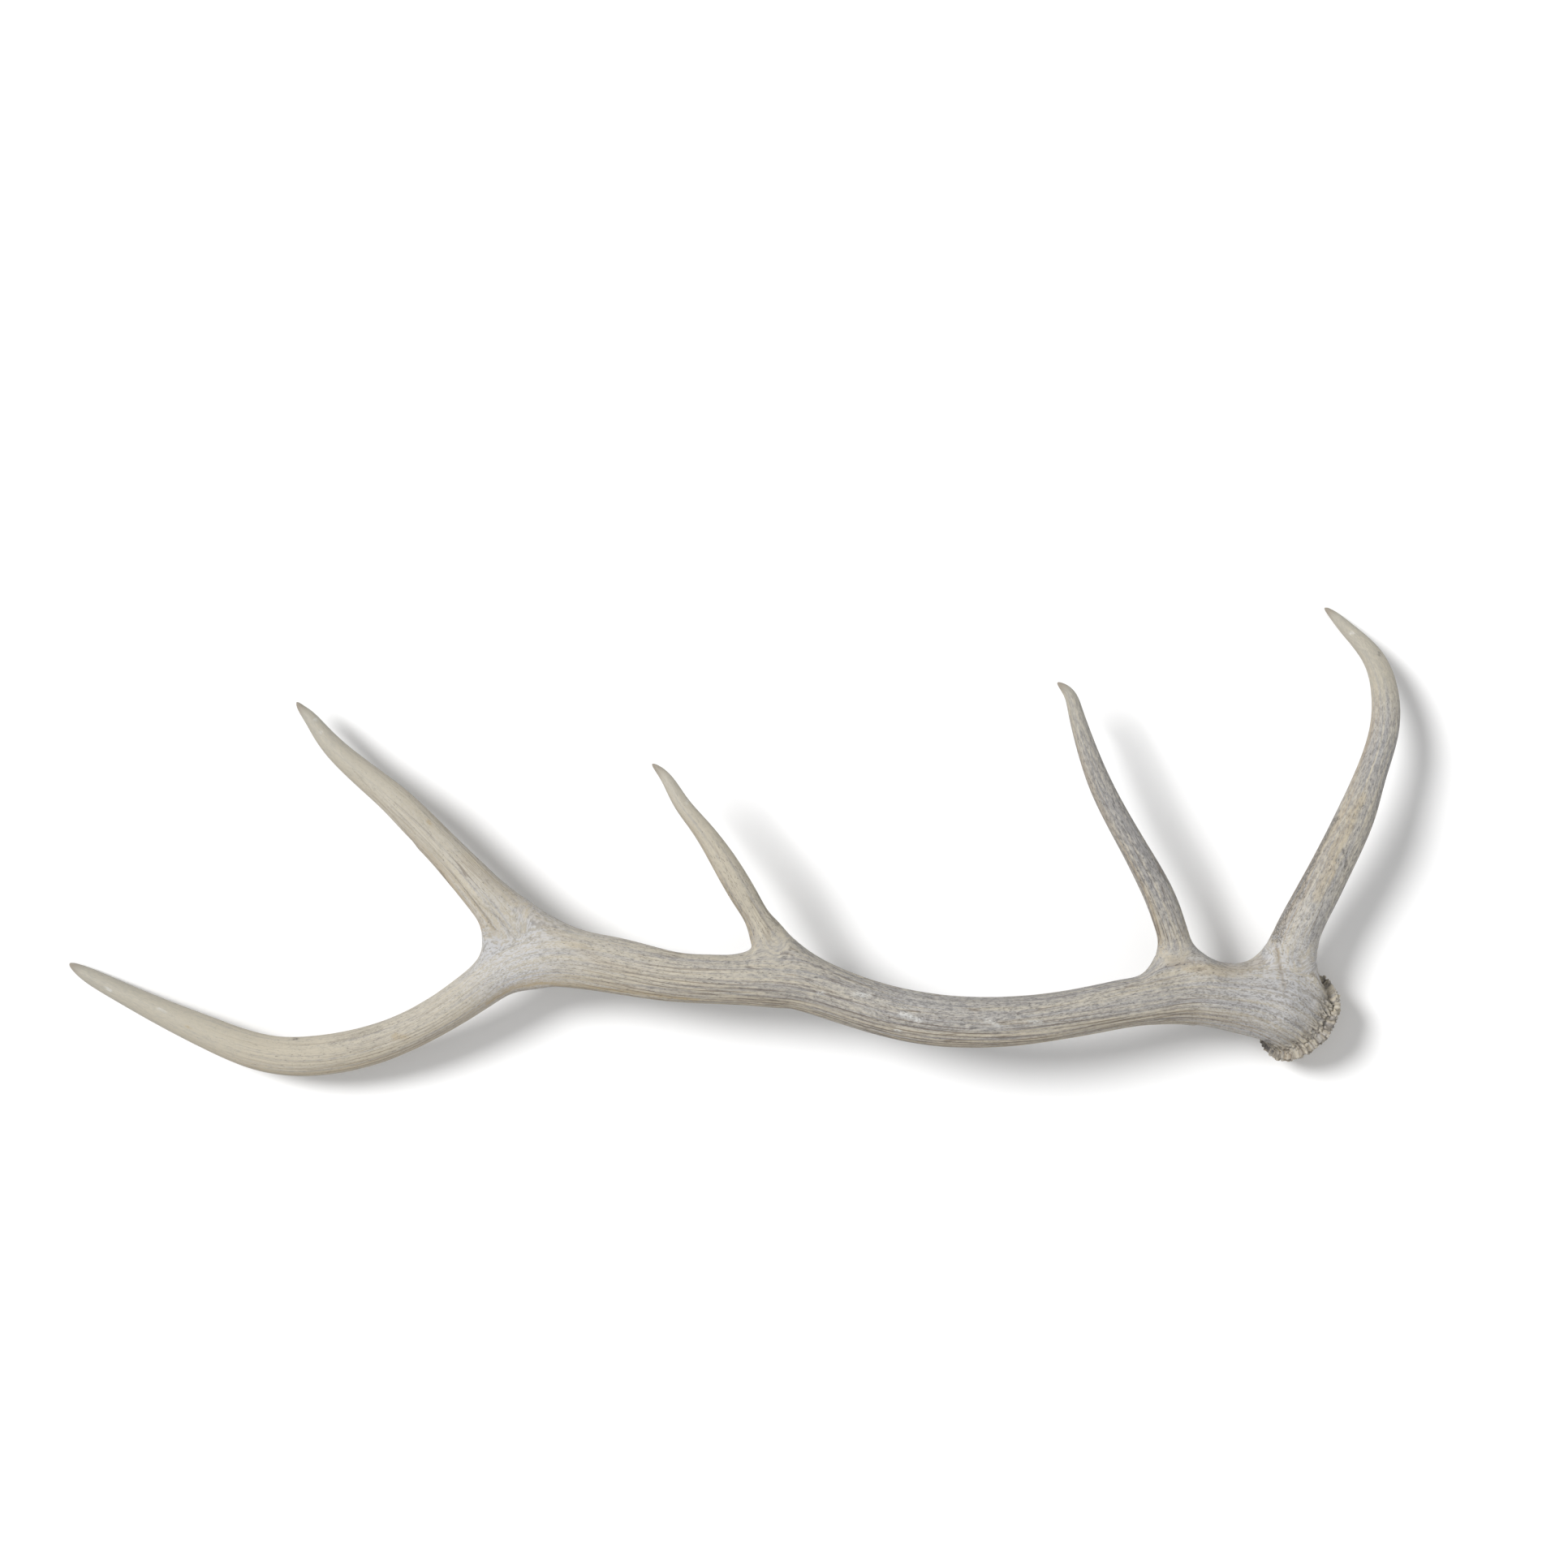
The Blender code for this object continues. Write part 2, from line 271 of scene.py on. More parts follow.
# ---------------------------------------------------------------------------
# The burr: the ring of bony pearls round the foot of the beam, and inside it
# the rough face where the antler let go of the skull.  The beam's grooves fan
# out into it and end between the pearls.
# ---------------------------------------------------------------------------

# Distance below the beam's first section, half width and half depth of each ring.
BURR_RINGS = ((4.0, 35.8, 34.0), (7.6, 35.0, 33.0), (9.3, 30.5, 29.0), (9.5, 18.0, 17.0))
BURR_DEPTH = BURR_RINGS[-1][0]
BURR_RADIUS = 34.0
# A pearl's size round the burr and along the beam, and how high it stands.
PEARL_ROUND = 5.8
PEARL_LONG = 5.2
PEARL_HEIGHT = 2.7

foot, along_beam = beam_sections[0]
burr_foot = Vector(foot[:3])
ring_above = beam_rings[0]
for below, half_width, half_depth in BURR_RINGS:
    place = burr_foot - along_beam * below
    burr_ring = add_ring(cage, ((*place, 2 * half_width, 2 * half_depth), along_beam))
    bridge(cage, ring_above, burr_ring, "main_beam")
    ring_above = burr_ring
close_end(cage, ring_above, burr_foot - along_beam * BURR_DEPTH, "main_beam")

# ---------------------------------------------------------------------------
# The brow tine: the first and longest side tine, grown from just above the
# burr and hooked at its end.  Chalky at its base, streaked yellow and speckled
# at its middle, grey above, and worn to a smooth cream point.
# ---------------------------------------------------------------------------

# Sections from base to tip: x, y, z, width.
BROW = (
    (424, -74, 57, 36),
    (438, -43, 61, 32),
    (467, 19, 69, 28),
    (479, 50, 67, 23),
    (490, 83, 60, 22),
    (492, 114, 48, 20),
    (485, 140, 33, 16),
    (470, 160, 16, 11),
    (461, 171, 5, 7),
    (454, 178, 0.2, 0),
)
BROW_LOOK = (
    (0, 0.35, 0.20, 0.90, 0.40, 0.30, 0.0),
    (60, 0.32, 0.60, 0.50, 0.65, 0.40, 0.0),
    (95, 0.40, 0.80, 0.30, 0.70, 0.35, 0.0),
    (150, 0.52, 0.85, 0.10, 0.80, 0.25, 0.0),
    (200, 0.22, 1.00, 0.30, 0.75, 0.20, 0.0),
    (235, 0.50, 0.80, 0.30, 0.50, 0.15, 0.1),
    (260, 0.85, 0.50, 0.00, 0.20, 0.05, 0.6),
    (350, 0.80, 0.60, 0.00, 0.10, 0.00, 0.9),
)
# A healed crack runs down the base of the tine into the burr, beside a shallow
# crease, and a yellow streak runs up its middle.
BROW_MARKS = (
    ("furrow", 2.0, 0.6, (
        (408, -72), (408.5, -80), (411, -94), (413, -107), (417, -117), (424, -128), (434, -138),
    )),
    ("ochre", 1.8, 0.4, ((408.5, -80), (410, -88), (411.5, -98), (414, -108))),
    ("cream", 1.6, 0.5, ((406, -76), (407, -86), (408.5, -97), (411, -108), (416, -120))),
    ("furrow", 1.4, 0.35, ((425, -100), (426, -110), (429, -119), (435, -126), (443, -133))),
    ("ochre", 6.0, 0.4, (
        (438, -41), (441, -30), (447, -17), (451, -5), (459, 8), (463, 20), (470, 32),
    )),
    ("ochre", 2.0, 0.5, ((446, -31), (450, -22), (449, -10))),
    ("cream", 3.0, 0.8, ((443, -30), (449, -16), (455, -2), (462, 12))),
    ("soot_and_shade", 1.6, 0.8, ((457, -22), (459, -15), (456, -6))),
    ("soot_and_shade", 6.5, 0.75, ((409, -72), (411, -60), (417, -48), (425, -36))),
    ("soot_and_shade", 3.0, 0.75, ((425, -36), (434, -18), (443, 2), (452, 18))),
    ("chip", 1.8, 0.5, ((470, 157), (472, 158))),
    ("soot_and_shade", 1.2, 1.0, ((489, 140), (490, 142))),
)
# Depth of a tine's section over its width.
TINE_DEPTH = 0.94


def add_tine(name, stations, heart):
    """Grow a tine out of a fork of the beam.  It is parted at its first own section."""
    before, middle, after = beam_rings[heart - 1], beam_rings[heart], beam_rings[heart + 1]
    mouth = (
        before[TINE_SIDE],
        before[TOP_SIDE],
        middle[TOP_SIDE],
        after[TOP_SIDE],
        after[TINE_SIDE],
        after[UNDER_SIDE],
        middle[UNDER_SIDE],
        before[UNDER_SIDE],
    )
    full = [station + (station[3] * TINE_DEPTH,) for station in stations]
    sections, _ = sections_along(full, RING_STEP)
    rings = [add_ring(cage, section) for section in sections[:-1]]
    bridge(cage, mouth, rings[0], "main_beam")
    for ring_a, ring_b in zip(rings, rings[1:]):
        bridge(cage, ring_a, ring_b, name)
    close_end(cage, rings[-1], sections[-1][0][:3], name)


add_tine("brow_tine", BROW, fork_hearts[0])

# ---------------------------------------------------------------------------
# The bez tine: the second side tine, slim and nearly straight, grown close
# above the brow tine.  Grey and mottled, with deep grooves at its base.
# ---------------------------------------------------------------------------

BEZ = (
    (331.3, -77, 77, 26.5),
    (326, -57, 80, 23),
    (317, -35, 84, 22),
    (303, -9, 88, 20),
    (275, 43, 88, 17),
    (265, 71, 84, 14),
    (258, 96, 77, 11),
    (253, 111, 71, 8),
    (245, 119, 66, 0),
)
BEZ_LOOK = (
    (0, 0.60, 0.35, 0.20, 0.40, 0.60, 0.0),
    (45, 0.55, 0.60, 0.10, 0.70, 1.00, 0.0),
    (90, 0.22, 1.00, 0.15, 0.90, 0.60, 0.0),
    (150, 0.02, 1.00, 0.10, 1.00, 0.30, 0.0),
    (200, 0.22, 1.00, 0.15, 0.80, 0.20, 0.1),
    (235, 0.45, 0.90, 0.05, 0.45, 0.05, 0.5),
    (265, 0.85, 0.50, 0.00, 0.05, 0.00, 0.9),
)
# Deep lines side by side at its base.
BEZ_MARKS = (
    ("furrow", 0.9, 0.8, ((318, -55), (322, -68), (326, -78))),
    ("furrow", 0.9, 0.9, ((321, -52), (326, -66), (331, -77))),
    ("furrow", 0.9, 0.7, ((324, -53), (329, -65), (333, -75), (334, -83))),
    ("furrow", 0.9, 0.5, ((328, -56), (332, -66), (336, -75))),
)
add_tine("bez_tine", BEZ, fork_hearts[1])

# ---------------------------------------------------------------------------
# The trez tine: the third and shortest side tine, at the middle of the beam.
# Cream on top, its edges darkened by dense short pores.
# ---------------------------------------------------------------------------

TREZ = (
    (28, -68, 90, 26),
    (20.6, -55.3, 91, 19.5),
    (11, -39, 93, 20),
    (-3, -15, 95, 19),
    (-19, 9, 94, 15),
    (-35, 29, 92, 12),
    (-47, 48, 88, 8),
    (-57, 58, 86, 0),
)
TREZ_LOOK = (
    (0, 0.42, 0.50, 0.05, 0.65, 0.30, 0.0),
    (45, 0.75, 0.30, 0.05, 0.70, 0.40, 0.0),
    (90, 0.85, 0.25, 0.05, 0.60, 0.40, 0.0),
    (130, 0.95, 0.20, 0.05, 0.35, 0.20, 0.2),
    (165, 1.00, 0.05, 0.30, 0.15, 0.05, 0.5),
    (195, 1.00, 0.05, 0.30, 0.05, 0.00, 0.7),
)
TREZ_MARKS = (
    ("chip", 1.5, 0.5, ((-31, 29), (-30, 31))),
    ("soot_and_shade", 4.0, 0.45, ((22, -36), (30, -50), (36, -60))),
    ("soot_and_shade", 2.5, 0.22, ((-3, -31), (6, -46), (12, -58))),
)
add_tine("trez_tine", TREZ, fork_hearts[2])

# ---------------------------------------------------------------------------
# The upper tine of the end fork: straight, cream, finely streaked along its
# length, with a folded edge where it leaves the web of the fork.
# ---------------------------------------------------------------------------

FORK_UPPER = (
    (-177, -45, 66, 34),
    (-189, -32, 65, 30),
    (-210, -9, 63, 26),
    (-236, 17, 60, 25),
    (-259, 38, 56, 22),
    (-294, 67, 48, 17),
    (-314, 90, 40, 11),
    (-323, 100, 36, 6),
    (-327, 105, 34, 0),
)
FORK_UPPER_LOOK = (
    (0, 0.50, 0.10, 0.90, 0.15, 0.20, 0.0),
    (45, 0.75, 0.20, 0.50, 0.20, 0.35, 0.0),
    (80, 0.88, 0.10, 0.30, 0.35, 0.70, 0.0),
    (150, 0.88, 0.10, 0.25, 0.30, 0.60, 0.2),
    (200, 0.95, 0.10, 0.10, 0.15, 0.10, 0.6),
    (260, 0.90, 0.20, 0.00, 0.05, 0.00, 1.0),
)
# The fold: a welt along the inner edge, with a fine line on its far side.  A
# broad yellow streak comes up into the tine from the beam.
FORK_UPPER_MARKS = (
    ("ochre", 6.5, 0.22, (
        (-70, -96), (-90, -91), (-117, -74), (-144, -56), (-170, -36), (-196, -12),
    )),
    ("ridge", 3.2, 1.0, (
        (-238, 1), (-218, -20), (-203, -36), (-190, -52), (-182, -61), (-174, -72),
    )),
    ("furrow", 1.6, 0.6, (
        (-234, 6), (-214, -13), (-200, -32), (-187, -48), (-179, -58), (-172, -69),
    )),
    ("ochre", 1.8, 0.6, (
        (-244, 1), (-224, -20), (-207, -36), (-197, -47), (-189, -57), (-185, -66),
    )),
    # Painted shade along the far side of the welt.
    ("soot_and_shade", 0.9, 0.4, ((-197, -35), (-187, -48), (-179, -58), (-173, -67))),
    ("furrow", 0.9, 0.45, ((-284, 57), (-263, 33), (-240, 12), (-214, -14), (-196, -35))),
    ("furrow", 0.9, 0.35, ((-272, 39), (-252, 20), (-234, -2), (-217, -18))),
    ("ochre", 1.8, 0.8, ((-224, 15), (-222, 13))),
    ("chip", 1.6, 0.5, ((-312, 91), (-311, 92))),
    ("chip", 1.4, 0.4, ((-307, 81), (-306, 82))),
)
# Marks on the lower tine of the fork, the end of the beam.
FORK_LOWER_MARKS = (
    ("chip", 1.6, 0.6, ((-474, -112), (-470, -114))),
    ("chip", 1.3, 0.45, ((-434, -126), (-428, -129))),
    ("ochre", 2.0, 1.0, ((-411, -140), (-409, -141))),
    ("soot_and_shade", 1.5, 0.9, ((-328, -149), (-326, -149))),
    ("ochre", 4.0, 0.6, ((-250, -146), (-242, -146))),
    ("soot_and_shade", 3.0, 0.35, ((-300, -152), (-285, -148), (-262, -140))),
)
add_tine("fork_upper_tine", FORK_UPPER, fork_hearts[3])

# ---------------------------------------------------------------------------
# The skin: one smooth surface over all the branches, grown along them.  Its
# grain, grooves and pearls are raised here, and its colours are laid on.
# ---------------------------------------------------------------------------

SKIN_LEVELS = 4
FIT_PASSES = 12


def rest_points():
    """Where the smooth surface lies over each corner of the cage.

    It is drawn towards the corners next to it and across each face.
    """
    found = []
    for vert in cage.verts:
        count = len(vert.link_edges)
        total = vert.co * count**2
        for edge in vert.link_edges:
            total += edge.other_vert(vert).co * 4
        for face in vert.link_faces:
            corners = list(face.verts)
            total += corners[(corners.index(vert) + 2) % 4].co
        found.append(total / (count * (count + 5)))
    return found


# Swell the cage until its smooth surface passes through the sections.
bmesh.ops.recalc_face_normals(cage, faces=cage.faces)
wanted = [vert.co.copy() for vert in cage.verts]
for _ in range(FIT_PASSES):
    for vert, goal, rest in zip(cage.verts, wanted, rest_points()):
        vert.co += goal - rest

cage_mesh = bpy.data.meshes.new("antler_cage")
cage.to_mesh(cage_mesh)
cage.free()
whole = bpy.data.objects.new("antler_cage", cage_mesh)
bpy.context.scene.collection.objects.link(whole)
smoother = whole.modifiers.new("smooth", "SUBSURF")
smoother.levels = SKIN_LEVELS
smoother.render_levels = SKIN_LEVELS
skin = bpy.data.meshes.new_from_object(whole.evaluated_get(bpy.context.evaluated_depsgraph_get()))
bpy.data.objects.remove(whole, do_unlink=True)


# Around the burr the faces are split once more, so that the pearls have room.
BURR_REACH = 20.0
RUNS_ROUND = 0.7
shell = bmesh.new()
shell.from_mesh(skin)
round_the_burr = []
for edge in shell.edges:
    middle = (edge.verts[0].co + edge.verts[1].co) / 2 - burr_foot
    if abs(middle.dot(along_beam)) < BURR_REACH and middle.length < 2 * BURR_REACH:
        around = along_beam.cross(middle).normalized()
        run = (edge.verts[1].co - edge.verts[0].co).normalized()
        if abs(run.dot(around)) > RUNS_ROUND:
            round_the_burr.append(edge)
bmesh.ops.subdivide_edges(shell, edges=round_the_burr, cuts=1)

# Where a tine leaves the beam the skin is drawn over in a smooth curve, in steps
# of reach and passes.  The trez tine's web is the roundest, and is also filled
# out on its side away from the burr.
WEB_STEPS = ((21.0, 8), (16.0, 10), (11.0, 10))
WEB_ROUNDNESS = (1, 1, 3, 1)
WEB_FILL = ((0.0, 0.0), (0.0, 0.0), (0.0, 3.6), (0.0, 0.0))
FILL_REACH = 14.0
for heart, roundness, fills in zip(fork_hearts, WEB_ROUNDNESS, WEB_FILL):
    for way, fill in zip((-1, 1), fills):
        place, direction = beam_sections[heart + way]
        side = direction.cross(UP).normalized()
        corner = Vector(place[:3]) + side * place[3] / 2
        opening = (side + way * direction).normalized()
        for vert in shell.verts:
            near = max(0.0, 1.0 - (vert.co - corner).length_squared / FILL_REACH**2)
            vert.co += opening * (fill * near**2)
        for reach, passes in WEB_STEPS:
            web = [vert for vert in shell.verts if (vert.co - corner).length < reach]
            for _ in range(passes * roundness):
                bmesh.ops.smooth_vert(
                    shell, verts=web, factor=0.5, use_axis_x=True, use_axis_y=True, use_axis_z=True
                )
shell.to_mesh(skin)
shell.free()


def point_values(layer, name, width):
    """The numbers that a layer of the mesh holds, one row for each point."""
    values = np.empty(len(layer) * width, np.float32)
    layer.foreach_get(name, values)
    return values.reshape(-1, width).astype(float)


def eased(low, high, values):
    """0 up to low, 1 from high, with a soft step between."""
    t = np.clip((values - low) / (high - low), 0.0, 1.0)
    return t * t * (3 - 2 * t)


NOISE_STRETCH = 1.6


def lumps(places, size):
    """Smooth random lumps of about -1 to 1, of a size given along each axis."""
    spots = (places / size).tolist()
    return NOISE_STRETCH * np.array([noise.noise(Vector(spot)) for spot in spots])


# The step between the places of a growth line, how softly a point clings to it,
# how often its bends are drawn out for the grain, and its least half width.
LINE_STEP = 4.0
LINE_SOFTNESS = 11.0
BEND_PASSES = 60
NARROWEST = 5.0
POINTS_AT_ONCE = 10000


def growth_line(stations):
    """The middle line of a branch: places, directions, distances along, half widths."""
    sections, _ = sections_along(stations, LINE_STEP)
    rows = np.array([place for place, _ in sections])
    ways = np.array([tuple(way) for _, way in sections])
    along = np.concatenate(([0.0], np.cumsum(np.linalg.norm(np.diff(rows[:, :3], axis=0), axis=1))))
    return rows[:, :3], ways, along, rows[:, 3:].mean(axis=1) / 2


def soften(line):
    """The same line with its short bends drawn out, as the grain follows them."""
    places, _, _, half = line
    places = places.copy()
    for _ in range(BEND_PASSES):
        places[1:-1] = (places[:-2] + 2 * places[1:-1] + places[2:]) / 4
    ways = np.gradient(places, axis=0)
    ways /= np.linalg.norm(ways, axis=1, keepdims=True)
    along = np.concatenate(([0.0], np.cumsum(np.linalg.norm(np.diff(places, axis=0), axis=1))))
    return places, ways, along, half


def spread(values, along, reach):
    """Values along a line, read at each point's distance along it."""
    return np.stack([np.interp(reach, along, column) for column in values.T], axis=1)


def straighten(points, line):
    """Each point's place in a branch, as if the branch were straight.

    Gives its turn round the branch, its distance along it, and its distance
    from the middle line in half widths.
    """
    places, ways, along, half = line
    reach = np.empty(len(points))
    for first in range(0, len(points), POINTS_AT_ONCE):
        some = slice(first, first + POINTS_AT_ONCE)
        apart = ((points[some, None] - places) ** 2).sum(axis=2)
        pull = np.exp((apart.min(axis=1, keepdims=True) - apart) / (2 * LINE_SOFTNESS**2))
        reach[some] = pull @ along / pull.sum(axis=1)
    way = spread(ways, along, reach)
    way /= np.linalg.norm(way, axis=1, keepdims=True)
    off = points - spread(places, along, reach)
    reach += (off * way).sum(axis=1)
    off = points - spread(places, along, reach)
    side = np.cross(way, UP)
    side /= np.linalg.norm(side, axis=1, keepdims=True)
    over = np.cross(side, way)
    turn = np.arctan2((off * over).sum(axis=1), (off * side).sum(axis=1))
    width = np.maximum(np.interp(reach, along, half), NARROWEST)
    return turn, reach, np.linalg.norm(off, axis=1) / width


def near_path(places, path, radius):
    """1 on a path of given points, falling to 0 at the radius from it.

    Also returns how far the nearest point of the path is from its ends.
    """
    nearest = np.full(len(places), np.inf)
    run = np.zeros(len(places))
    path = np.array(path, float)
    lengths = np.linalg.norm(np.diff(path, axis=0), axis=1)
    passed = 0.0
    for a, b, length in zip(path, path[1:], lengths):
        t = np.clip(((places - a) @ (b - a)) / length**2, 0.0, 1.0)
        apart = np.linalg.norm(places - a - t[:, None] * (b - a), axis=1)
        run = np.where(apart < nearest, passed + t * length, run)
        nearest = np.minimum(nearest, apart)
        passed += length
    return 1.0 - eased(0.0, radius, nearest), np.minimum(run, passed - run)


def grain_round(turn, reach, radius):
    """Places in the grain, as if the branch were a straight rod of this radius."""
    return np.stack([radius * np.cos(turn), radius * np.sin(turn), reach], axis=1)


def look_at(look, reach):
    """The look of the bone at each distance along a branch."""
    table = np.array(look, float)
    return spread(table[:, 1:], table[:, 0], reach)


points = point_values(skin.vertices, "co", 3)
normals = point_values(skin.vertex_normals, "vector", 3)

# The grain: straightened places in millimetres, the same on every branch.
BEAM_ROUND = 19.0
beam_line = growth_line(BEAM)
beam_turn, beam_reach, beam_off = straighten(points, beam_line)
grain_line = soften(beam_line)
grain_turn, grain_reach, _ = straighten(points, grain_line)
grain = grain_round(grain_turn, grain_reach, BEAM_ROUND)
look = look_at(BEAM_LOOK, beam_reach)
tip_left = beam_line[2][-1] - beam_reach

# Each tine with its look, the fork that it grows from and its grain's radius.
TINES = (
    (BROW, BROW_LOOK, BROW_FORK, 13.0),
    (BEZ, BEZ_LOOK, BEZ_FORK, 10.0),
    (TREZ, TREZ_LOOK, TREZ_FORK, 9.0),
    (FORK_UPPER, FORK_UPPER_LOOK, END_FORK, 12.0),
)
# A point takes on a tine's look and grain as it leaves the beam, told by the
# beam's share of the two distances.
TINE_SHARE = (0.50, 0.68)
# The outer edge is the beam's side away from the tines, and each tine's side away from the burr,
# told by the cosine of the turn.  It gets a brown stain and painted shade.
OUTER_EDGE_SHADE = (-0.35, -0.95)
outer_edge_stain_and_shade = eased(*OUTER_EDGE_SHADE, np.cos(grain_turn))
in_a_tine = np.zeros(len(points))
in_a_web = np.zeros(len(points))
for stations, tine_look, fork, radius in TINES:
    heart = BEAM[fork]
    full = [(*heart[:3], stations[0][3], stations[0][3])]
    full += [(*station, station[3] * TINE_DEPTH) for station in stations]
    line = growth_line(full)
    turn, reach, off = straighten(points, line)
    share = beam_off / (beam_off + off)
    weight = eased(*TINE_SHARE, share)
    heart_reach = grain_line[2][np.linalg.norm(grain_line[0] - heart[:3], axis=1).argmin()]
    own = grain_round(turn, reach + heart_reach, radius)
    mouth = (weight > 0.2) & (weight < 0.8)
    own[:, :2] += (grain - own)[mouth, :2].mean(axis=0)
    grain += (own - grain) * weight[:, None]
    look += (look_at(tine_look, reach) - look) * weight[:, None]
    tip_left += (line[2][-1] - reach - tip_left) * weight
    outer_edge_stain_and_shade += (eased(*OUTER_EDGE_SHADE, np.cos(turn)) - outer_edge_stain_and_shade) * weight
    in_a_tine = np.maximum(in_a_tine, weight)
    in_a_web = np.maximum(in_a_web, 4 * weight * (1 - weight))

# In the web of a fork the bone is plainer, with less grey, flecks and grooves.
WEB_PLAINNESS = 0.6
GREY_FLECK_AND_GROOVE = (1, 3, 4)
look[:, GREY_FLECK_AND_GROOVE] *= 1.0 - WEB_PLAINNESS * in_a_web[:, None]

# The shed face, inside the burr, has no grain of its own.
FACE_RADIUS = (30.0, 26.0)
FACE_DEPTH = (5.0, 8.0)
below = -beam_reach
from_foot = points - burr_foot
face_radius = np.linalg.norm(from_foot - (from_foot @ along_beam)[:, None] * along_beam, axis=1)
shed_face = eased(*FACE_RADIUS, face_radius) * eased(*FACE_DEPTH, below)
grain += (points - grain) * shed_face[:, None]
cream, grey, chalk, fleck, groove, polish = look.T
groove *= 1.0 - shed_face

# The relief, in millimetres along the skin's normals.  Each form's size is
# given across the grain twice and then along it.
SWELL = 0.45
SWELL_SIZE = (16, 16, 70)
FLUTE = 0.28
FLUTE_SIZE = (5, 5, 60)
STRIATION = 0.10
STRIATION_SIZE = (1.7, 1.7, 30)

swell = lumps(grain, SWELL_SIZE)
flute = lumps(grain + 40, FLUTE_SIZE)
striation = lumps(grain + 80, STRIATION_SIZE)
unworn = 1.0 - polish

# Long grooves: thin valleys where slow noise crosses zero, all round.
GROOVE_DEPTH = 0.5
GROOVE_SIZE = (4.0, 4.0, 80)
GROOVE_WIDTH = 0.22
valley = lumps(grain + 120, GROOVE_SIZE)
grooves = np.exp(-((valley / GROOVE_WIDTH) ** 2))
grooves *= groove * eased(-0.3, 0.5, lumps(grain + 160, (12, 12, 70)))

# On the outer side of the beam they lie side by side, from the burr to the end,
# each in a lane of its own that comes and goes.
OUTER_GROOVE_GAP = 3.2
OUTER_GROOVE_WIDTH = 0.95
LANE_APART = 31.7
LANE_LENGTH = 75
outer_side = eased(0.30, -0.30, np.cos(grain_turn)) * (1.0 - in_a_tine) * (1.0 - shed_face)
wander = lumps(grain + 200, (16, 16, 90)) * 1.6
beam_round = (grain_turn % (2 * math.pi)) * BEAM_ROUND + wander
phase = beam_round / OUTER_GROOVE_GAP
lane = np.round(phase)
lane_places = np.stack([lane * LANE_APART, lane * 0, grain_reach], axis=1)
lane_noise = lumps(lane_places, (1, 1, LANE_LENGTH))
outer_grooves = np.exp(-(((phase - lane) * OUTER_GROOVE_GAP / OUTER_GROOVE_WIDTH) ** 2))
outer_grooves *= outer_side * eased(-0.5, 0.4, lane_noise)
lined = outer_side * eased(0.1, 0.7, groove) * unworn

relief = SWELL * swell * (0.4 + 0.6 * unworn)
relief += FLUTE * flute * unworn * (0.3 + 0.7 * groove)
relief += STRIATION * striation * unworn * (0.4 + 0.6 * groove)
relief -= GROOVE_DEPTH * (grooves * unworn + 0.6 * outer_grooves * lined)

# Fine ridges fan out of the burr.
FAN_HEIGHT = 0.5
to_burr = eased(-56.0, -12.0, below) * (1.0 - eased(0.6, 1.0, in_a_tine)) * (1.0 - shed_face)
fan = lumps(grain + 240, (1.3, 1.3, 36)) + 0.4 * lumps(grain + 280, (0.8, 0.8, 16))
relief += FAN_HEIGHT * fan * to_burr
fan_gap = eased(-0.25, -0.9, fan) * to_burr

# The listed marks.  A line fades at its ends and is broken along the grain, and a stain has a
# ragged edge.
FURROW_DEPTH = 0.9
RIDGE_HEIGHT = 1.1
CHIP_DEPTH = 0.25
MARK_FADE = 9.0
LINES = ("furrow", "ridge", "cream")
STAINS = ("ochre", "soot_and_shade", "chip")
marks = {kind: np.zeros(len(points)) for kind in LINES + STAINS}
facing_up = eased(-0.1, 0.15, normals[:, 2])
ragged = lumps(points, (2.2, 2.2, 2.2))
broken = lumps(grain + 360, (2.5, 2.5, 30))
hand_set = BEAM_MARKS + BROW_MARKS + BEZ_MARKS + TREZ_MARKS + FORK_UPPER_MARKS + FORK_LOWER_MARKS
for kind, radius, strength, path in hand_set:
    mark, from_end = near_path(points[:, :2], path, radius)
    if kind in STAINS:
        mark = eased(0.1, 0.7, mark + 0.35 * ragged * (mark > 0))
    else:
        mark = mark * eased(0.0, MARK_FADE, from_end)
    if kind in ("furrow", "cream"):
        mark = mark * eased(-0.7, 0.1, broken)
    marks[kind] = np.maximum(marks[kind], strength * mark * facing_up)
relief -= FURROW_DEPTH * marks["furrow"]
relief += RIDGE_HEIGHT * marks["ridge"]
relief -= CHIP_DEPTH * marks["chip"]

# The pearls: uneven cells round the burr.  Beyond the first few millimetres they
# are drawn out into ridges up the beam.
PEARL_REACH = 40.0
ROUND_PEARLS = 9.0
DRAWN_OUT = 5.0
PEARL_BEND = 0.60
PEARL_BEND_SIZE = (0.7, 0.7, 0.7)
DOME_RADIUS = 0.80
near_burr = np.flatnonzero((below > -PEARL_REACH) & (in_a_tine < 0.9))
at_rim = below[near_burr]
up_the_beam = np.minimum(at_rim + ROUND_PEARLS, 0.0)
drawn = (at_rim - up_the_beam + up_the_beam / DRAWN_OUT) / PEARL_LONG
round_burr = BURR_RADIUS / PEARL_ROUND
cells = grain_round(beam_turn[near_burr], drawn, round_burr)
bends = [lumps(cells + shift, PEARL_BEND_SIZE) for shift in (10, 20, 30)]
bent = PEARL_BEND * np.stack(bends, axis=1)
found = [noise.voronoi(Vector(cell)) for cell in (cells + bent).tolist()]
gap = np.array([distances[1] - distances[0] for distances, _ in found])
taller = np.array([noise.noise(centres[0] * 3.1) for _, centres in found])
to_centre = np.array([distances[0] for distances, _ in found])
dome = np.sqrt(np.clip(1.0 - (to_centre / DOME_RADIUS) ** 2, 0.0, 1.0))
pearl = dome * eased(-0.08, 0.30, gap)

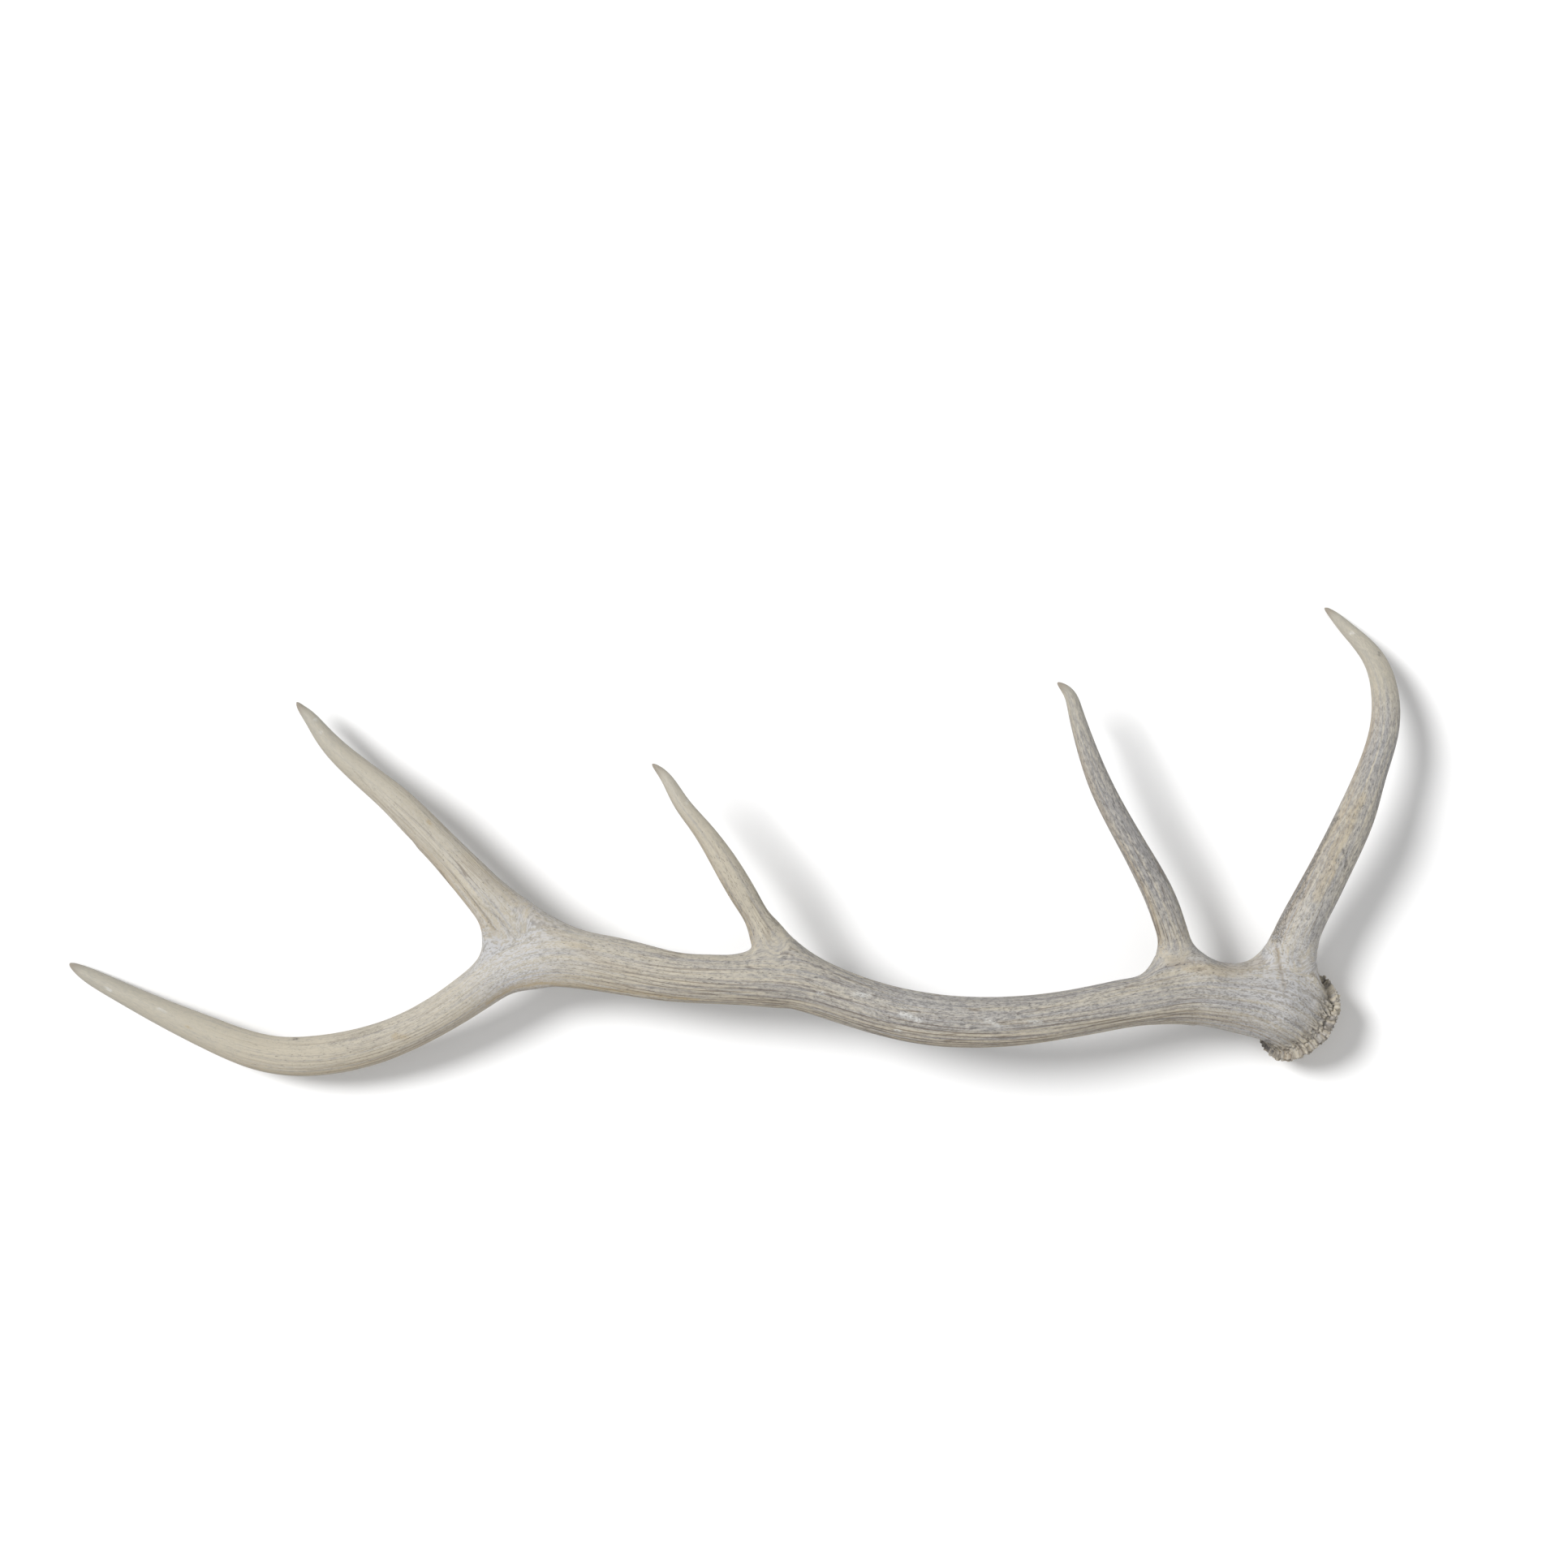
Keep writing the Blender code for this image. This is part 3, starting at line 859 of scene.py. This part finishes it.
# They stand highest at the rim, and a little higher towards the tines.
RIM_PLACES = (-30, -16, -9, -3, 2, 8, 11)
RIM_HEIGHTS = (0.0, 0.3, 1.3, 2.1, PEARL_HEIGHT, PEARL_HEIGHT, 1.2)
PEARL_SINK = 0.55
rise = np.interp(at_rim, RIM_PLACES, RIM_HEIGHTS)
rise *= np.where(at_rim > 6.0, eased(26.0, 31.0, face_radius[near_burr]), 1.0)
rise *= np.interp(np.cos(beam_turn[near_burr]), (-1.0, 1.0), (0.7, 1.15))
relief[near_burr] += rise * (pearl * (0.95 + 0.8 * taller) - PEARL_SINK)

# Painted shade in the gaps between the pearls and the ridges, and in the furrows.
crevice_shade = 0.38 * fan_gap + 0.8 * marks["furrow"]
gap_shade = (1.0 - eased(0.0, 0.24, gap)) * eased(0.4, 1.8, rise)
gap_shade *= 0.45 + 0.65 * eased(-0.4, 0.5, lumps(points[near_burr] + 400, (7, 7, 7)))
crevice_shade[near_burr] = np.maximum(crevice_shade[near_burr], gap_shade)

# The shed face: rough and porous, where the bone broke from the skull.
pores = lumps(points + 320, (1.6, 1.6, 1.6))
relief += shed_face * (0.45 * lumps(points, (6, 6, 6)) - 0.5 * eased(0.1, 0.8, pores))
# Painted shade in its pores.
crevice_shade = np.maximum(crevice_shade, 0.7 * shed_face * eased(0.2, 0.8, pores))

# Nothing stands out of the solid antler's box.
BOX_MARGIN = 0.02
points += normals * relief[:, None]
low, high = np.array(cad_low) / MM, np.array(cad_high) / MM
points = np.clip(points, low + BOX_MARGIN, high - BOX_MARGIN) * MM
skin.vertices.foreach_set("co", points.ravel())
skin.update()


def lay_on(name, values):
    """Keep a value for each point of the skin, for the material to read."""
    kind, field = ("FLOAT_VECTOR", "vector") if values.ndim == 2 else ("FLOAT", "value")
    layer = skin.attributes.new(name, kind, "POINT")
    layer.data.foreach_set(field, values.astype(np.float32).ravel())


# How far from its point a tine starts to turn brown, and where it is fully so.
TIP_STAIN = (16.0, 2.0)
lay_on("grain", grain)
lay_on("cream", cream)
lay_on("grey", grey)
lay_on("chalk", chalk)
lay_on("fleck", fleck)
lay_on("threads", groove * unworn)
lay_on("polish", polish)
# Pale lines, and painted light on the tops of the pearls.
pale_and_painted_light = marks["cream"]
painted_light_on_pearls = 0.8 * eased(0.30, 0.7, pearl) * eased(0.2, 1.3, rise)
pale_and_painted_light[near_burr] = np.maximum(pale_and_painted_light[near_burr], painted_light_on_pearls)
lay_on("pale_and_painted_light", pale_and_painted_light)
lay_on("lane", phase)
lay_on("lined", lined)
# Painted shade in the crevices.
lay_on("crevice_shade", crevice_shade)
# A brown stain and painted shade along the outer edge.
lay_on("edge", outer_edge_stain_and_shade * (0.4 + 0.6 * unworn) * (1.0 - shed_face))
lay_on("tip", eased(*TIP_STAIN, tip_left))
for kind in STAINS:
    lay_on(kind, marks[kind])
lay_on("shed_face", shed_face)
lay_on("shading", point_values(skin.vertex_normals, "vector", 3))


def linear(red, green, blue):
    """A colour named by its screen values, 0 to 255."""
    return tuple((value / 255) ** 2.2 for value in (red, green, blue)) + (1.0,)


# The bone's tones, and then the colours of what lies on it.
BONE_GREY = linear(152, 150, 148)
BONE_CREAM = linear(186, 178, 161)
BONE_DARK = linear(113, 112, 112)
CHALK = linear(191, 191, 193)
IVORY = linear(159, 156, 146)
FLECK = linear(88, 85, 83)
GROOVE_BROWN = linear(100, 88, 76)
# Cream ridges, and painted light on the tops of the pearls.
RIDGE_CREAM_AND_LIGHT = linear(184, 174, 153)
OCHRE = linear(168, 150, 118)
# Soot stains, and painted shade.
SOOT_AND_SHADE = linear(92, 90, 89)
CHIP = linear(206, 206, 203)
# Painted shade in the crevices.
CREVICE_SHADE = linear(72, 64, 57)
FACE_BONE = linear(168, 153, 126)
# A brown stain and painted shade along the outer edge.
EDGE_BROWN_AND_SHADE = linear(160, 143, 118)
TIP_BROWN = linear(128, 116, 104)


class Finish:
    """A material built up from nodes, coat over coat."""

    def __init__(self, name):
        """A plain finish, with nothing on it yet."""
        self.material = bpy.data.materials.new(name)
        self.material.use_nodes = True
        self.tree = self.material.node_tree
        self.shader = self.tree.nodes["Principled BSDF"]

    def node(self, kind, **settings):
        """A new node with its settings."""
        made = self.tree.nodes.new(kind)
        for name, value in settings.items():
            setattr(made, name, value)
        return made

    def plug(self, socket, value):
        """A link or a plain value into a socket."""
        if isinstance(value, bpy.types.NodeSocket):
            self.tree.links.new(value, socket)
        else:
            socket.default_value = value

    def laid(self, name):
        """A value that was laid on the skin."""
        made = self.node("ShaderNodeAttribute", attribute_name=name)
        return made.outputs["Vector" if name == "grain" else "Fac"]

    def added(self, start, *parts):
        """A start value plus each part times its weight."""
        total = start
        for value, weight in parts:
            total = self.reckon("MULTIPLY_ADD", value, weight, total)
        return total

    def reckon(self, operation, first, second=0.0, third=0.0):
        """One step of arithmetic."""
        made = self.node("ShaderNodeMath", operation=operation)
        for socket, value in zip(made.inputs, (first, second, third)):
            self.plug(socket, value)
        return made.outputs[0]

    def times(self, first, second):
        """One value times another."""
        return self.reckon("MULTIPLY", first, second)

    def span(self, value, low, high, to_low=0.0, to_high=1.0):
        """A value eased from one range to another."""
        made = self.node("ShaderNodeMapRange", interpolation_type="SMOOTHSTEP")
        for socket, number in zip(made.inputs, (value, low, high, to_low, to_high)):
            self.plug(socket, number)
        return made.outputs[0]

    def streaks(self, across, along, shift=0.0, detail=2.0, rough=0.5):
        """Noise drawn out along the grain: its size across and along, in millimetres."""
        scaled = self.node("ShaderNodeMapping")
        self.plug(scaled.inputs["Vector"], self.laid("grain"))
        scaled.inputs["Location"].default_value = (shift, shift, shift)
        scaled.inputs["Scale"].default_value = (1 / across, 1 / across, 1 / along)
        made = self.node("ShaderNodeTexNoise")
        self.plug(made.inputs["Vector"], scaled.outputs[0])
        made.inputs["Scale"].default_value = 1.0
        made.inputs["Detail"].default_value = detail
        made.inputs["Roughness"].default_value = rough
        return made.outputs["Fac"]

    def coat(self, under, colour, amount):
        """One colour over another, by an amount from 0 to 1."""
        made = self.node("ShaderNodeMix", data_type="RGBA")
        self.plug(made.inputs["Factor"], amount)
        self.plug(made.inputs["A"], under)
        self.plug(made.inputs["B"], colour)
        return made.outputs["Result"]


def weathered_bone():
    """Dry antler: cream and grey mottled, flecked along its grain, worn to ivory at the tips."""
    bone = Finish("weathered_antler")
    polished = bone.laid("polish")
    unworn = bone.reckon("SUBTRACT", 1.0, polished)
    mottle = bone.streaks(1.9, 5.0, shift=3, detail=3, rough=0.65)
    bands = bone.streaks(1.5, 65, shift=17, detail=2)
    broad = bone.streaks(3.6, 130, shift=23, detail=1)
    grit = bone.streaks(0.7, 1.9, shift=11, detail=1)
    dashes = bone.streaks(0.55, 2.5, shift=31, detail=1)

    # Cream and grey bone, in patches and in long bands.
    creamy = bone.added(
        -2.08, (bone.laid("cream"), 0.9), (mottle, 1.2), (bands, 1.15), (broad, 1.4), (grit, 0.6)
    )
    colour = bone.coat(BONE_GREY, BONE_CREAM, bone.span(creamy, -0.1, 1.0))
    greyed = bone.times(bone.laid("grey"), bone.span(mottle, 0.66, 0.34))
    colour = bone.coat(colour, BONE_DARK, bone.times(greyed, 0.55))
    chalky = bone.added(-0.5, (mottle, 0.6), (grit, 0.9), (bands, -0.5))
    chalked = bone.times(bone.laid("chalk"), bone.span(chalky, -0.12, 0.12))
    colour = bone.coat(colour, CHALK, bone.times(chalked, 0.85))
    # A brown stain and painted shade along the outer edge.
    edge = bone.times(bone.laid("edge"), bone.span(bands, 0.38, 0.60, 0.0, 0.45))
    colour = bone.coat(colour, EDGE_BROWN_AND_SHADE, edge)
    ochre = bone.times(bone.laid("ochre"), bone.span(grit, 0.3, 0.6, 0.3, 0.9))
    colour = bone.coat(colour, OCHRE, ochre)

    # Short dark pores, long dark threads, and brown grooves between cream ridges.
    density = bone.times(bone.laid("fleck"), bone.span(mottle, 0.62, 0.38, 0.35, 1.1))
    open_at = bone.added(0.275, (density, 0.13))
    pore = bone.span(bone.reckon("SUBTRACT", dashes, open_at), 0.03, -0.04)
    colour = bone.coat(colour, FLECK, bone.times(pore, 0.60))
    thread = bone.times(bone.span(bands, 0.42, 0.34), bone.laid("threads"))
    colour = bone.coat(colour, GROOVE_BROWN, bone.times(thread, 0.36))
    lane = bone.reckon("ROUND", bone.laid("lane"))
    off_lane = bone.reckon("ABSOLUTE", bone.reckon("SUBTRACT", bone.laid("lane"), lane))
    strength = bone.span(bone.streaks(2.0, 45, shift=47, detail=1), 0.32, 0.56)
    line = bone.times(bone.span(off_lane, 0.20, 0.06), strength)
    between = bone.times(bone.span(off_lane, 0.24, 0.44), bone.span(broad, 0.35, 0.65, 0.2, 0.8))
    # The pale marks also carry painted light on the tops of the pearls.
    ridge = bone.reckon("MAXIMUM", bone.laid("pale_and_painted_light"), bone.times(bone.laid("lined"), between))
    colour = bone.coat(colour, RIDGE_CREAM_AND_LIGHT, bone.times(ridge, 0.6))
    waves = bone.streaks(3.2, 80, shift=53, detail=0)
    valley = bone.reckon("ABSOLUTE", bone.reckon("SUBTRACT", waves, 0.5))
    valley = bone.times(bone.span(valley, 0.035, 0.008), bone.laid("threads"))
    valley = bone.times(valley, strength)
    groove = bone.reckon("MAXIMUM", valley, bone.times(bone.laid("lined"), line))
    colour = bone.coat(colour, GROOVE_BROWN, bone.times(groove, 0.74))

    # Worn tips, stains, scuffs, and painted shade in the gaps of the burr and the other crevices.
    ivory = bone.times(polished, bone.span(mottle, 0.3, 0.7, 0.85, 0.45))
    colour = bone.coat(colour, IVORY, ivory)
    tip = bone.times(bone.laid("tip"), bone.span(mottle, 0.35, 0.6, 0.3, 0.7))
    colour = bone.coat(colour, TIP_BROWN, tip)
    colour = bone.coat(colour, FACE_BONE, bone.times(bone.laid("shed_face"), 0.8))
    # Soot stains, and painted shade under the burr's rim and along the fold of the upper tine.
    soot_and_shade = bone.times(bone.laid("soot_and_shade"), bone.span(grit, 0.35, 0.6, 1.0, 0.35))
    colour = bone.coat(colour, SOOT_AND_SHADE, soot_and_shade)
    chip = bone.times(bone.laid("chip"), bone.span(grit, 0.38, 0.52, 0.2, 1.0))
    colour = bone.coat(colour, CHIP, chip)
    colour = bone.coat(colour, CREVICE_SHADE, bone.times(bone.laid("crevice_shade"), 0.62))
    bone.plug(bone.shader.inputs["Base Color"], colour)

    rough = bone.added(0.74, (polished, -0.30), (mottle, 0.16))
    bone.plug(bone.shader.inputs["Roughness"], rough)
    bone.shader.inputs["IOR"].default_value = 1.5
    bone.shader.inputs["Specular IOR Level"].default_value = 0.3

    height = bone.times(bone.added(0.0, (bands, 0.5), (grit, 0.35), (dashes, 0.5)), unworn)
    bump = bone.node("ShaderNodeBump")
    bump.inputs["Strength"].default_value = 0.55
    bump.inputs["Distance"].default_value = 0.0006
    bone.plug(bump.inputs["Height"], height)
    bone.plug(bone.shader.inputs["Normal"], bump.outputs[0])
    return bone.material


antler_bone = weathered_bone()
# Marks the faces that close a cut, until a piece is done.
CAP = 1
OWN_SHADING = -1


def part_off(name):
    """One piece of the antler, closed where it meets its neighbours.

    It keeps the shading of the whole skin, so that the joins don't show.
    """
    shell = bmesh.new()
    shell.from_mesh(skin)
    others = [face for face in shell.faces if face.material_index != PIECE_NUMBER[name]]
    bmesh.ops.delete(shell, geom=others, context="FACES")
    for face in shell.faces:
        face.material_index = 0
    rim = [edge for edge in shell.edges if edge.is_boundary]
    ends = bmesh.ops.holes_fill(shell, edges=rim, sides=0)["faces"]
    for face in bmesh.ops.poke(shell, faces=ends)["faces"]:
        face.material_index = CAP
    bmesh.ops.recalc_face_normals(shell, faces=shell.faces)
    for face in shell.faces:
        face.smooth = True
    mesh = bpy.data.meshes.new(name)
    shell.to_mesh(mesh)
    shell.free()
    normals = point_values(mesh.attributes["shading"].data, "vector", 3)
    corners = np.empty(len(mesh.loops), np.int32)
    mesh.loops.foreach_get("vertex_index", corners)
    for polygon in mesh.polygons:
        if polygon.material_index == CAP:
            polygon.material_index = 0
            for corner in polygon.loop_indices:
                corners[corner] = OWN_SHADING
    # The cuts keep a shading of their own.
    shading = np.where((corners == OWN_SHADING)[:, None], 0.0, normals[corners])
    mesh.normals_split_custom_set(shading.tolist())
    mesh.attributes.remove(mesh.attributes["shading"])
    mesh.materials.clear()
    mesh.materials.append(antler_bone)
    piece = bpy.data.objects.new(name + "_bone", mesh)
    bpy.context.scene.collection.objects.link(piece)
    return piece


for name in PIECES:
    piece = part_off(name)
    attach(piece, "root")
    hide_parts(name)

# ---------------------------------------------------------------------------
# The floor, the light and the camera: a sheet of white paper under three soft
# lamps, the strongest high on the left, seen from straight above.
# ---------------------------------------------------------------------------

bpy.ops.mesh.primitive_plane_add(size=12.0)
floor = bpy.context.active_object
floor.name = "floor"
paper = Finish("white_paper")
paper.shader.inputs["Base Color"].default_value = (0.92, 0.92, 0.92, 1.0)
paper.shader.inputs["Roughness"].default_value = 0.9
floor.data.materials.append(paper.material)

world = bpy.data.worlds.new("studio")
world.use_nodes = True
world.node_tree.nodes["Background"].inputs["Color"].default_value = (1.0, 1.0, 1.0, 1.0)
world.node_tree.nodes["Background"].inputs["Strength"].default_value = 0.25
bpy.context.scene.world = world

# Each lamp: where it shines from, how broad it is in degrees, and its strength.
# The last one is the softest, and lights the far sides.
LAMPS = {
    "key": ((-50.0, 25.0, 75.0), 18.0, 2.75),
    "above": ((0.0, 0.0, 1.0), 50.0, 0.50),
    "fill": ((80.0, -45.0, 35.0), 60.0, 0.75),
}
for name, (shines_from, breadth, strength) in LAMPS.items():
    lamp = bpy.data.lights.new(name, "SUN")
    lamp.angle = math.radians(breadth)
    lamp.energy = strength
    light = bpy.data.objects.new(name, lamp)
    light.rotation_euler = (-Vector(shines_from)).to_track_quat("-Z", "Y").to_euler()
    bpy.context.scene.collection.objects.link(light)

CAMERA_AT = (0.041, 0.043, 2.830)
camera = bpy.data.cameras.new("camera")
camera.lens = 85.0
camera.sensor_width = 36.0
eye = bpy.data.objects.new("camera", camera)
eye.location = CAMERA_AT
bpy.context.scene.collection.objects.link(eye)
bpy.context.scene.camera = eye
bpy.context.scene.view_settings.view_transform = "Standard"
